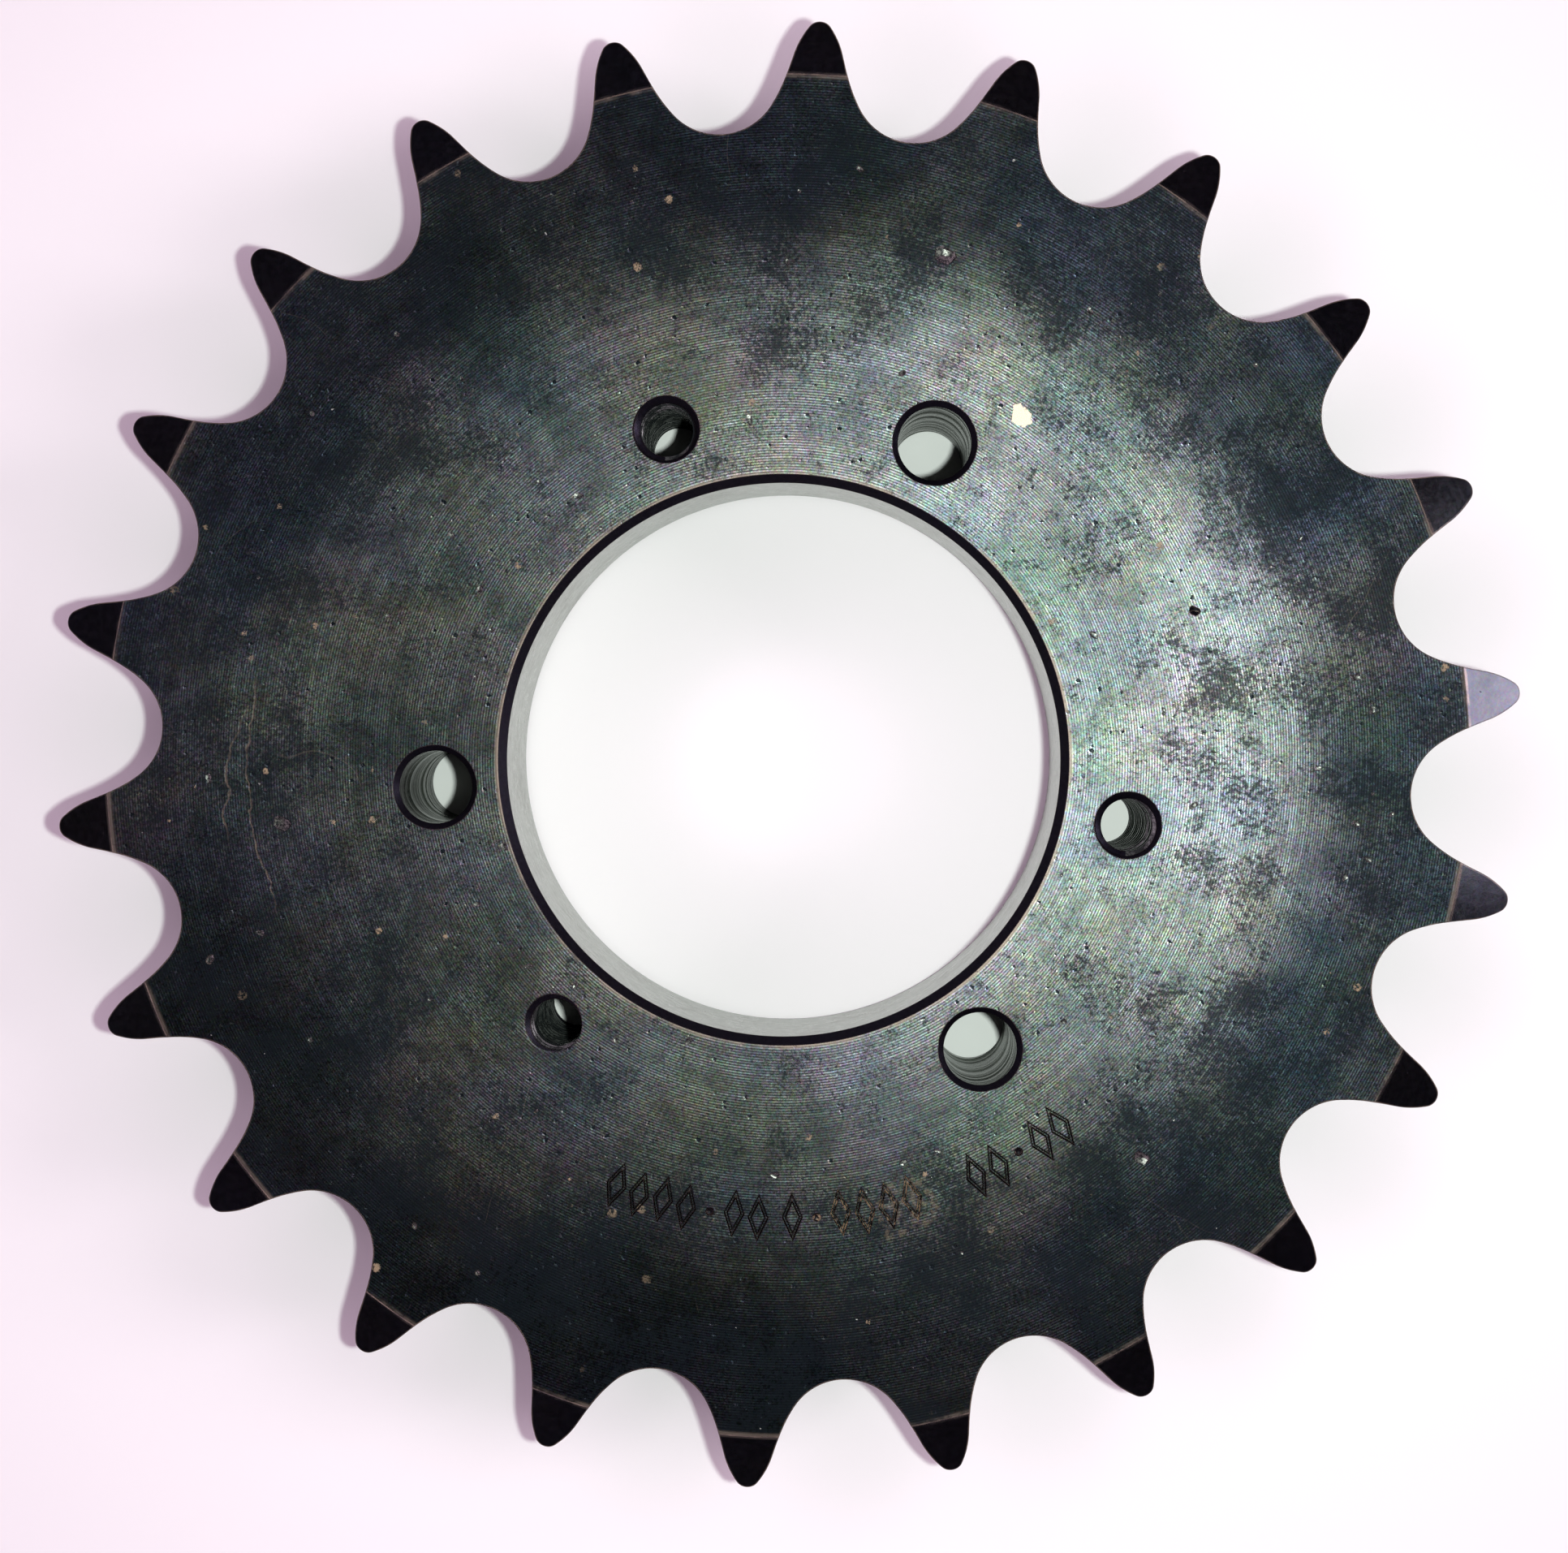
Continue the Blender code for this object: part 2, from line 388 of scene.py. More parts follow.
def drill_tool(name, place, radius, rim_radius, seed):
    """A drill with a 45 degree countersink at both ends, flaring past both faces."""
    depth = rim_radius - radius
    middle = (plain_face + hub_face) / 2
    straight = LENGTH_THROUGH_BORE - 2 * depth
    flare = depth + FLARE
    bpy.ops.object.select_all(action="DESELECT")
    bpy.ops.mesh.primitive_cylinder_add(
        vertices=DRILL_STEPS, radius=radius, depth=straight, location=(0, 0, 0))
    tool = bpy.context.object
    tool.name = name
    bpy.ops.object.mode_set(mode="EDIT")
    select_ends(tool)
    bpy.ops.mesh.extrude_region_move()
    bpy.ops.transform.resize(
        value=((radius + flare) / radius, (radius + flare) / radius, 1 + 2 * flare / straight),
        center_override=(0, 0, 0))
    bpy.ops.transform.vertex_random(offset=RAGGED, seed=seed)
    bpy.ops.mesh.select_all(action="SELECT")
    bpy.ops.transform.translate(value=(place.real, place.imag, middle))
    close_up()
    return tool


for number, place in enumerate(drilled_places):
    machine(drill_tool("drill", place, DRILLED_RADIUS, DRILLED_RIM_RADIUS, number))


# ------------------------------------------------------------
# Tapped holes. Three holes for the jack screws, drilled, countersunk and then cut with a 1/4-20
# tap, which leaves a real helical thread from face to face.
# ------------------------------------------------------------

PILOT_RADIUS = 2.3 * MM
TAPPED_RIM_RADIUS = 3.3 * MM
THREAD_PITCH = INCH / 20
THREAD_RADIUS = 0.125 * INCH
THREAD_ROOT_FLAT = THREAD_PITCH / 8
TAP_CORE_RADIUS = 2.555 * MM
TAP_STEPS = 48
TAPPED_AFTER_DRILLED = radians(45)

tapped_places = [place * rect(1, TAPPED_AFTER_DRILLED) for place in drilled_places]


def tap_tool(place):
    """A tap: one 60 degree thread profile carried up a helix by Screw, with closed ends."""
    tooth_depth = THREAD_RADIUS - TAP_CORE_RADIUS
    side = tooth_depth * tan(radians(30))
    land = THREAD_PITCH - THREAD_ROOT_FLAT - 2 * side
    turns = int(LENGTH_THROUGH_BORE / THREAD_PITCH) + 4
    tool = start_line("tap", TAP_CORE_RADIUS, 0, plain_face + 2 * THREAD_PITCH)
    draw_on(0, 0, -land)
    draw_on(tooth_depth, 0, -side)
    draw_on(0, 0, -THREAD_ROOT_FLAT)
    draw_on(-tooth_depth, 0, -side)
    bpy.ops.object.mode_set(mode="OBJECT")
    helix = tool.modifiers.new("helix", "SCREW")
    helix.screw_offset = -THREAD_PITCH
    helix.iterations = turns
    helix.steps = helix.render_steps = TAP_STEPS
    helix.use_merge_vertices = True
    helix.merge_threshold = WELD
    bpy.ops.object.modifier_apply(modifier=helix.name)
    bpy.ops.object.mode_set(mode="EDIT")
    weld()
    for top_end in (True, False):
        bpy.ops.object.mode_set(mode="EDIT")
        bpy.ops.mesh.select_mode(type="EDGE")
        bpy.ops.mesh.select_all(action="DESELECT")
        bpy.ops.mesh.select_non_manifold()
        bpy.ops.object.mode_set(mode="OBJECT")
        middle = sum(vertex.co.z for vertex in tool.data.vertices) / len(tool.data.vertices)
        for edge in tool.data.edges:
            height = tool.data.vertices[edge.vertices[0]].co.z
            edge.select = edge.select and (height > middle) == top_end
        for vertex in tool.data.vertices:
            vertex.select = False
        for edge in tool.data.edges:
            for index in edge.vertices:
                tool.data.vertices[index].select |= edge.select
        bpy.ops.object.mode_set(mode="EDIT")
        bpy.ops.mesh.extrude_region_move()
        bpy.ops.mesh.merge(type="CENTER")
    bpy.ops.mesh.select_all(action="SELECT")
    bpy.ops.transform.translate(value=(place.real, place.imag, 0))
    close_up()
    return tool


for number, place in enumerate(tapped_places):
    machine(drill_tool("pilot", place, PILOT_RADIUS, TAPPED_RIM_RADIUS, HOLES + number))
    machine(tap_tool(place))


# ------------------------------------------------------------
# Stamping. An arc of plain lozenges and dots, pressed a third of a millimetre into the plain
# face with round-nosed punches, one blow each. They stand where a marking goes and say nothing.
# ------------------------------------------------------------

STAMP_RADIUS = 44.7 * MM
STAMP_DEPTH = 0.32 * MM
STAMP_STROKE = 0.48 * MM
STAMP_HALF_TALL = 1.9 * MM
STAMP_HALF_WIDE = 0.82 * MM
STAMP_STEP = radians(3.05)
STAMP_WANDER = 0.14 * MM
DOT_RADIUS, DOT_FLATNESS = 0.42 * MM, 0.6
STAMP_GROUPS = ((radians(244.2), "oooo.oo"), (radians(266.8), "o.oooo"), (radians(290.6), "oo.oo"))


def punch(shape, angle, off_line):
    """One punch mark: a lozenge frame with a round-nosed stroke, or a round dot."""
    bpy.ops.object.select_all(action="DESELECT")
    if shape == ".":
        bpy.ops.mesh.primitive_uv_sphere_add(segments=16, ring_count=8, radius=DOT_RADIUS)
        bpy.ops.object.mode_set(mode="EDIT")
        bpy.ops.transform.resize(value=(1, 1, DOT_FLATNESS), center_override=(0, 0, 0))
    else:
        bpy.ops.mesh.primitive_torus_add(
            major_segments=4, minor_segments=10, major_radius=STAMP_HALF_TALL,
            minor_radius=STAMP_STROKE)
        bpy.ops.object.mode_set(mode="EDIT")
        bpy.ops.transform.resize(
            value=(1, STAMP_HALF_WIDE / STAMP_HALF_TALL, STAMP_DEPTH / STAMP_STROKE),
            center_override=(0, 0, 0))
    bpy.ops.transform.translate(value=(STAMP_RADIUS + off_line, 0, plain_face))
    bpy.ops.transform.rotate(value=-angle, orient_axis="Z", center_override=(0, 0, 0))
    bpy.ops.object.mode_set(mode="OBJECT")
    return bpy.context.object


def joined(tools, name):
    """One tool from several that don't touch each other."""
    bpy.ops.object.select_all(action="DESELECT")
    for tool in tools:
        tool.select_set(True)
    bpy.context.view_layer.objects.active = tools[0]
    bpy.ops.object.join()
    tools[0].name = name
    bpy.ops.object.mode_set(mode="EDIT")
    close_up()
    return tools[0]


punches = []
for first, row in STAMP_GROUPS:
    for number, shape in enumerate(row):
        off_line = STAMP_WANDER * sin(2.3 * number)
        punches.append(punch(shape, first + number * STAMP_STEP, off_line))
machine(joined(punches, "punches"))


# ------------------------------------------------------------
# Dings. Small dents and nicks from handling, cut as shallow lens shapes into the plain face: a
# few at places of their own, and the rest at seeded ones clear of the holes and the stamping.
# ------------------------------------------------------------

DING_COUNT = 80
DING_SEED = 22
DING_SPACE = 0.1 * MM
DING_HOLE_SPACE = 0.2 * MM
DING_STAMP_SPACE = 0.5 * MM
DING_REACH = CHAMFER_START_RADIUS - 5.5 * MM
DING_FLATNESS = 0.34
DING_ROUGHNESS = 0.3
DING_LIFT = 0.06
NAMED_STRETCH, NAMED_TURN = 1.2, 0.6
NAMED_DINGS = (
    (-49.4 * MM, -2.4 * MM, 0.75 * MM),
    (19.4 * MM, 47.5 * MM, 0.9 * MM),
    (40.9 * MM, 11.4 * MM, 0.5 * MM),
    (31.9 * MM, -41.3 * MM, 0.65 * MM),
)
draw = random.Random(DING_SEED)


def clear_of_holes(place, size):
    """True where a ding of this size misses the bore, every hole and the outline's gaps."""
    for centre, radius in ((0, BORE_RADIUS + BORE_CHAMFER),
                           *((hole, DRILLED_RIM_RADIUS) for hole in drilled_places),
                           *((hole, TAPPED_RIM_RADIUS) for hole in tapped_places)):
        if abs(place - centre) < radius + size + DING_HOLE_SPACE:
            return False
    return abs(place) < DING_REACH - size


def ding(place, size, stretch, turn):
    """A squashed ball that cuts one dent a few hundredths of a millimetre deep."""
    bpy.ops.object.select_all(action="DESELECT")
    bpy.ops.mesh.primitive_ico_sphere_add(subdivisions=2, radius=size)
    bpy.ops.object.mode_set(mode="EDIT")
    bpy.ops.transform.vertex_random(offset=DING_ROUGHNESS * size, seed=int(turn * 100))
    bpy.ops.transform.resize(value=(stretch, 1, DING_FLATNESS), center_override=(0, 0, 0))
    bpy.ops.transform.rotate(value=turn, orient_axis="Z", center_override=(0, 0, 0))
    bpy.ops.transform.translate(value=(place.real, place.imag, plain_face + DING_LIFT * size))
    bpy.ops.object.mode_set(mode="OBJECT")
    return bpy.context.object


dings = []
taken = []
for x, y, size in NAMED_DINGS:
    place = complex(x, y)
    dings.append(ding(place, size, NAMED_STRETCH, NAMED_TURN))
    taken.append((place, NAMED_STRETCH * size))
while len(dings) < DING_COUNT:
    place = rect(draw.uniform(BORE_RADIUS, CHAMFER_START_RADIUS), draw.uniform(0, tau))
    size = draw.uniform(0.12, 0.30) * MM
    stretch = draw.uniform(1, 2.0)
    turn = draw.uniform(0, tau)
    reach = size * stretch
    apart = all(abs(place - other) > reach + radius + DING_SPACE for other, radius in taken)
    off_stamps = abs(abs(place) - STAMP_RADIUS) > STAMP_HALF_TALL + reach + DING_STAMP_SPACE
    if apart and off_stamps and clear_of_holes(place, reach):
        dings.append(ding(place, size, stretch, turn))
        taken.append((place, reach))
machine(joined(dings, "dings"))


# ------------------------------------------------------------
# Black oxide on the turned faces. Chemical blacking over fine lathe grooves: grey-green where it is
# thin by the bore, deep black in blotches, with rust specks and rubs. Over it lie painted light and
# shade: painted highlights towards one side, in a band on one side, by the bore and beside each pit,
# and painted shade on other sides. Places and sizes of a finish are in millimetres; a depth or a width
# of wear is in metres.
# ------------------------------------------------------------

OXIDE_THIN = (0.088, 0.095, 0.094)
OXIDE_THICK = (0.025, 0.031, 0.037)
OXIDE_DEEP = (0.008, 0.011, 0.014)
RUBBED_STEEL = (0.42, 0.42, 0.40)
RUST = (0.27, 0.195, 0.115)
EDGE_BROWN = (0.20, 0.155, 0.12)
PAINT = (0.86, 0.78, 0.56)
FACE_HEIGHT = plain_face / MM
BORE_RIM = (BORE_RADIUS + BORE_CHAMFER) / MM
CHAMFER_START = CHAMFER_START_RADIUS / MM
GROOVE_PITCH = 0.26
GROOVE_DEPTH = 0.008 * MM
FACE_WEAR = 0.20 * MM
FACE_ROUGHNESS = (0.38, 0.47)
DIRT_ROUGHNESS = 0.13
FACE_TARNISH = 1.9
THIN_WITHIN, THICK_BEYOND = 46, 57
# Painted light and shade on the turned face: tone along one way, one lighter side, two darker sides, a
# painted highlight band on one side, and a lighter ring by the bore.
PAINTED_LIGHT_WAY, PAINTED_LIGHT_WAY_TONE, PAINTED_LIGHT_REACH = (0.77, 0.64, 0), (0.60, 1.45), 60
PAINTED_LIGHT_SIDE, PAINTED_LIGHT_SIDE_TONE = (-0.90, 0.44, 0), 2.0
PAINTED_SHADE_SIDES, PAINTED_SHADE_TONE = ((0.05, -1.0, 0), (-0.37, 0.93, 0)), 0.55
PAINTED_HIGHLIGHT_SIDE, PAINTED_HIGHLIGHT_TONE = (0.927, 0.375, 0), 1.65
BORE_PAINTED_HIGHLIGHT_TONE = 1.25
GROOVE_TONE = (0.50, 1.22)
TURN_TONE = (0.93, 1.07)
SPECKLE_TONE = (0.30, 1.85)
BLOTCH_SIZE, BLOTCH_STRENGTH = 9.0, 0.76
SOOT_SIZE, SOOT_COVER = 3.4, 0.27
PITS = (1.0, 0.18, 0.5)
# A painted highlight beside each pit, shifted to one side.
PIT_PAINTED_HIGHLIGHT_SIDE, PIT_PAINTED_HIGHLIGHT_TONE = (0.13, 0.08, 0), 2.4
GLINTS, GLINT_STRENGTH = (1.7, 0.09, 0.12), 0.8
RUST_SPECKS, RUST_STRENGTH = (3.4, 0.42, 0.42), 0.85
STAIN_PLACE, STAIN_RADIUS, STAIN_STRENGTH = (8.5, -44.0, FACE_HEIGHT), 3.4, 0.16
PAINT_PLACE, PAINT_RADIUS = (25.6, 31.3, FACE_HEIGHT), 1.05
HAIRLINE_SPACING, HAIRLINE_WIDTH, HAIRLINE_STRENGTH = 38, 0.038, 0.35
LONG_SCRATCHES = (((-14.5, 1.0, FACE_HEIGHT), 38.0, (-52.5, 0.8, FACE_HEIGHT), 13.0),
                  ((-22.5, -4.0, FACE_HEIGHT), 32.6, (-54.6, 3.0, FACE_HEIGHT), 7.5))
SCRATCH_WAVER = 3.2
SCRATCH_EDGES = (0.13, 0.04)
SCRATCH_BROWN = 0.5
# Rings at the bore's rim and the chamfer's start: partly rubbed wear, partly painted edge highlight.
FACE_RUB_AND_HIGHLIGHT_RINGS = ((BORE_RIM, 0.42, 1.0), (CHAMFER_START, 0.5, 0.5))


def noise(tree, place, scale, detail=2.0, rough=0.5, output="Fac"):
    return put(tree, "ShaderNodeTexNoise", place, None, scale, detail, rough).outputs[output]


def line_noise(tree, along, scale, detail, rough):
    """Noise that changes along one number only."""
    return put(tree, "ShaderNodeTexNoise", None, along, scale, detail, rough,
               noise_dimensions="1D").outputs["Fac"]


def patchy(tree, place, scale, detail, rough, low, high, to_low=0.0, to_high=1.0):
    """Noise eased into a range, so that an effect comes and goes over the surface."""
    return ramp(tree, noise(tree, place, scale, detail, rough), low, high, to_low, to_high)


def from_axis(tree, place):
    """How far a place is from the bore's axis."""
    return vector(tree, "LENGTH", vector(tree, "MULTIPLY", place, (1, 1, 0)))


def scaled(tree, way, amount):
    """A vector times a number."""
    node = put(tree, "ShaderNodeVectorMath", way, operation="SCALE")
    if isinstance(amount, bpy.types.NodeSocket):
        tree.links.new(amount, node.inputs["Scale"])
    else:
        node.inputs["Scale"].default_value = amount
    return node.outputs[0]


def shifted(tree, place, step):
    return vector(tree, "ADD", place, step)


def toned(tree, colour, tone):
    """A colour made lighter or darker."""
    grey = put(tree, "ShaderNodeCombineXYZ", tone, tone, tone).outputs[0]
    return vector(tree, "MULTIPLY", colour, grey)


def blend(tree, factor, first, second):
    """Mix two colours or two numbers."""
    colours = isinstance(second, tuple) or getattr(second, "type", "") == "RGBA"
    node = tree.nodes.new("ShaderNodeMix")
    node.data_type = "RGBA" if colours else "FLOAT"
    offset = 6 if colours else 2
    for number, value in ((0, factor), (offset, first), (offset + 1, second)):
        if isinstance(value, bpy.types.NodeSocket):
            tree.links.new(value, node.inputs[number])
        else:
            node.inputs[number].default_value = (*value, 1) if isinstance(value, tuple) else value
    return node.outputs[2 if colours else 0]


def effect(name, needs, results):
    """A node group with named inputs and outputs, each of a kind."""
    tree = bpy.data.node_groups.new(name, "ShaderNodeTree")
    for way, sockets in (("INPUT", needs), ("OUTPUT", results)):
        for socket, kind in sockets.items():
            tree.interface.new_socket(socket, in_out=way, socket_type="NodeSocket" + kind)
    taken = tree.nodes.new("NodeGroupInput").outputs
    given = tree.nodes.new("NodeGroupOutput").inputs
    return tree, taken, given


def fill_group(tree, group, *inputs):
    """Place a node group in a tree with its inputs in order."""
    node = tree.nodes.new("ShaderNodeGroup")
    node.node_tree = group
    for socket, value in zip(node.inputs, inputs):
        if isinstance(value, bpy.types.NodeSocket):
            tree.links.new(value, socket)
        else:
            socket.default_value = value
    return node.outputs


def lathe_lines():
    """Grooves round the axis, each as deep as its own luck, worn in places."""
    tree, taken, given = effect(
        "lathe_lines", {"Place": "Vector", "Pitch": "Float"}, {"Height": "Float", "Tone": "Float"})
    radius = from_axis(tree, taken["Place"])
    turns = sums(tree, "DIVIDE", radius, taken["Pitch"])
    groove = times(tree, sums(tree, "PINGPONG", turns, 0.5), 2)
    luck = put(tree, "ShaderNodeTexWhiteNoise", None, sums(tree, "FLOOR", turns),
               noise_dimensions="1D").outputs["Value"]
    bunch = line_noise(tree, times(tree, radius, 0.55), 1, 3, 0.6)
    wear = patchy(tree, taken["Place"], 0.35, 4, 0.6, 0.35, 0.62, 0.45, 1)
    depth = times(tree, wear, sums(tree, "MULTIPLY_ADD", luck, 0.25, 0.75))
    tree.links.new(times(tree, ramp(tree, groove, 0, 1), depth), given["Height"])
    tree.links.new(sums(tree, "MULTIPLY_ADD", bunch, 0.6, times(tree, luck, 0.4)), given["Tone"])
    return tree


def blotches():
    """Ragged patches with a speckled edge."""
    tree, taken, given = effect(
        "blotches", {"Place": "Vector", "Size": "Float", "Cover": "Float"}, {"Mask": "Float"})
    wide = noise(tree, taken["Place"], sums(tree, "DIVIDE", 1, taken["Size"]), 8, 0.66)
    fine = noise(tree, taken["Place"], 2.3, 5, 0.8)
    both = sums(tree, "MULTIPLY_ADD", sums(tree, "SUBTRACT", fine, 0.5), 0.95, wide)
    edge = sums(tree, "SUBTRACT", 0.72, times(tree, taken["Cover"], 0.4))
    mask = sums(tree, "DIVIDE", sums(tree, "SUBTRACT", both, edge), 0.10, clamp=True)
    tree.links.new(mask, given["Mask"])
    return tree


def specks():
    """Scattered ragged spots, a given share of the cells holding one."""
    tree, taken, given = effect(
        "specks", {"Place": "Vector", "Spacing": "Float", "Radius": "Float", "Share": "Float"},
        {"Mask": "Float"})
    ragged = scaled(tree, noise(tree, taken["Place"], 3.0, 3, 0.7, "Color"), 0.6)
    place = shifted(tree, taken["Place"], ragged)
    cells = put(tree, "ShaderNodeTexVoronoi", place, None, sums(tree, "DIVIDE", 1, taken["Spacing"]))
    luck = put(tree, "ShaderNodeSeparateColor", cells.outputs["Color"]).outputs
    chosen = sums(tree, "LESS_THAN", luck[0], taken["Share"])
    away = times(tree, cells.outputs["Distance"], taken["Spacing"])
    size = times(tree, taken["Radius"], sums(tree, "MULTIPLY_ADD", luck[1], 0.9, 0.45))
    spot = ramp(tree, sums(tree, "DIVIDE", away, size), 1.0, 0.7)
    tree.links.new(times(tree, spot, chosen), given["Mask"])
    return tree


def tarnish():
    """Fine many-coloured speckle, the interference colours of a thin oxide film."""
    tree, taken, given = effect(
        "tarnish", {"Place": "Vector", "Strength": "Float"}, {"Color": "Color"})
    fine = noise(tree, taken["Place"], 2.9, 3, 0.85, "Color")
    wide = noise(tree, taken["Place"], 0.085, 4, 0.6, "Color")
    fine = vector(tree, "SUBTRACT", fine, (0.5, 0.5, 0.5))
    wide = vector(tree, "SUBTRACT", wide, (0.5, 0.5, 0.5))
    both = vector(tree, "ADD", fine, vector(tree, "MULTIPLY", wide, (0.38, 0.24, 0.48)))
    film = scaled(tree, both, taken["Strength"])
    tree.links.new(vector(tree, "ADD", film, (1, 1, 1)), given["Color"])
    return tree


def hairlines():
    """A few long wandering scratches."""
    tree, taken, given = effect(
        "hairlines", {"Place": "Vector", "Spacing": "Float", "Width": "Float"}, {"Mask": "Float"})
    bend = scaled(tree, noise(tree, taken["Place"], 0.05, 2, 0.45, "Color"), 14)
    place = shifted(tree, taken["Place"], bend)
    cells = put(tree, "ShaderNodeTexVoronoi", place, None, sums(tree, "DIVIDE", 1, taken["Spacing"]),
                feature="DISTANCE_TO_EDGE")
    away = times(tree, cells.outputs["Distance"], taken["Spacing"])
    line = ramp(tree, sums(tree, "DIVIDE", away, taken["Width"]), 1.3, 0.6)
    broken = patchy(tree, taken["Place"], 0.06, 6, 0.75, 0.49, 0.62)
    tree.links.new(times(tree, line, broken), given["Mask"])
    return tree


def worn_edge():
    """A rounded edge: its normal, and how much a spot lies on it."""
    tree, taken, given = effect("worn_edge", {"Width": "Float"}, {"Mask": "Float", "Normal": "Vector"})
    rounded = put(tree, "ShaderNodeBevel", taken["Width"], samples=4).outputs[0]
    flat = put(tree, "ShaderNodeNewGeometry").outputs["Normal"]
    mask = ramp(tree, vector(tree, "DOT_PRODUCT", rounded, flat), 0.999, 0.988)
    tree.links.new(mask, given["Mask"])
    tree.links.new(rounded, given["Normal"])
    return tree


def patch():
    """One ragged round patch about a centre."""
    tree, taken, given = effect(
        "patch", {"Place": "Vector", "Centre": "Vector", "Radius": "Float", "Ragged": "Float"},
        {"Mask": "Float"})
    wave = noise(tree, taken["Place"], sums(tree, "DIVIDE", 0.9, taken["Radius"]), 3, 0.6, "Color")
    wave = vector(tree, "SUBTRACT", wave, (0.5, 0.5, 0.5))
    place = shifted(tree, taken["Place"], scaled(tree, wave, times(tree, taken["Ragged"], 2)))
    away = sums(tree, "DIVIDE", vector(tree, "DISTANCE", place, taken["Centre"]), taken["Radius"])
    tree.links.new(ramp(tree, away, 1.0, 0.85), given["Mask"])
    return tree


def rub_and_highlight_ring():
    """Fine bright lines round the axis where an edge has been rubbed, partly wear and partly a painted
    edge highlight, broken along the way.
    """
    tree, taken, given = effect(
        "rub_and_highlight_ring", {"Place": "Vector", "Radius": "Float", "Width": "Float"}, {"Mask": "Float"})
    radius = from_axis(tree, taken["Place"])
    away = sums(tree, "ABSOLUTE", sums(tree, "SUBTRACT", radius, taken["Radius"]))
    band = ramp(tree, sums(tree, "DIVIDE", away, taken["Width"]), 1.0, 0.45)
    broken = patchy(tree, taken["Place"], 0.13, 6, 0.72, 0.40, 0.58, 0.08, 1)
    lines = line_noise(tree, times(tree, radius, 4.5), 1, 2, 0.6)
    tree.links.new(times(tree, band, broken, ramp(tree, lines, 0.35, 0.6, 0.35, 1)), given["Mask"])
    return tree


LATHE_LINES, BLOTCHES, SPECKS, TARNISH = lathe_lines(), blotches(), specks(), tarnish()
HAIRLINES, WORN_EDGE, PATCH, RUB_AND_HIGHLIGHT_RING = hairlines(), worn_edge(), patch(), rub_and_highlight_ring()


def new_finish(name):
    """A material, its shader, and the place on the piece in millimetres."""
    material = bpy.data.materials.new(name)
    material.use_nodes = True
    tree = material.node_tree
    place = put(tree, "ShaderNodeMapping", put(tree, "ShaderNodeTexCoord").outputs["Object"],
                None, None, (1000, 1000, 1000)).outputs[0]
    return material, tree, tree.nodes["Principled BSDF"], place


def feed(tree, surface, **looks):
    """Link outputs to the shader's inputs, which go by their own names: Base_Color, Metallic."""
    for look, value in looks.items():
        tree.links.new(value, surface.inputs[look.replace("_", " ")])


def press(tree, surface, height, depth, normal=None):
    """Press a height pattern into the surface, this deep, over its own or a rounded normal."""
    bump = put(tree, "ShaderNodeBump")
    bump.inputs["Strength"].default_value = 1
    bump.inputs["Distance"].default_value = depth
    tree.links.new(height, bump.inputs["Height"])
    if normal:
        tree.links.new(normal, bump.inputs["Normal"])
    feed(tree, surface, Normal=bump.outputs[0])


def facing(tree, place, side, radius):
    """1 where the way from the axis to this place is the given side, -1 where it is opposite."""
    return sums(tree, "DIVIDE", vector(tree, "DOT_PRODUCT", place, side), radius)


def long_scratch(tree, place, centre, bend, middle, reach):
    """One long wavering scratch, part of a wide circle."""
    waver = times(tree, sums(tree, "SUBTRACT", noise(tree, place, 0.16, 4, 0.6), 0.5), SCRATCH_WAVER)
    across = sums(tree, "ADD", vector(tree, "DISTANCE", place, centre), waver)
    off = sums(tree, "ABSOLUTE", sums(tree, "SUBTRACT", across, bend))
    faint = patchy(tree, place, 0.8, 4, 0.7, 0.36, 0.60, 0.4, 1)
    ends = ramp(tree, vector(tree, "DISTANCE", place, middle), reach, 0.7 * reach)
    return times(tree, ramp(tree, off, *SCRATCH_EDGES), faint, ends)


# The film's thickness: thin about the bore, thick at the rim, with its own drift.
turned_oxide, tree, surface, place = new_finish("turned_black_oxide")
lines = fill_group(tree, LATHE_LINES, place, GROOVE_PITCH)
radius = from_axis(tree, place)
thin = sums(tree, "ADD", ramp(tree, radius, THICK_BEYOND, THIN_WITHIN, 0.05, 0.85),
            patchy(tree, place, 0.045, 4, 0.55, 0.36, 0.64, -0.3, 0.3), clamp=True)
colour = blend(tree, thin, OXIDE_THICK, OXIDE_THIN)
colour = vector(tree, "MULTIPLY", colour, fill_group(tree, TARNISH, place, FACE_TARNISH)["Color"])

# Its tone: painted light and shade round the face, then by the grooves, and in a fine speckle.
# Painted light and shade: lighter towards one way across the face, darker towards the other.
toward_painted_light = times(tree, vector(tree, "DOT_PRODUCT", place, PAINTED_LIGHT_WAY), 1 / PAINTED_LIGHT_REACH)
tone = ramp(tree, toward_painted_light, -0.85, 0.75, *PAINTED_LIGHT_WAY_TONE)
# Painted light on one outer side and painted shade on two others, blended in towards the rim.
across = ramp(tree, facing(tree, place, PAINTED_LIGHT_SIDE, radius), 0.80, 0.98, 1.0, PAINTED_LIGHT_SIDE_TONE)
for painted_shade_side in PAINTED_SHADE_SIDES:
    painted_shade = ramp(tree, facing(tree, place, painted_shade_side, radius), 0.55, 0.92, 1.0, PAINTED_SHADE_TONE)
    across = times(tree, across, painted_shade)
tone = times(tree, tone, blend(tree, ramp(tree, radius, 40, 51), 1.0, across))
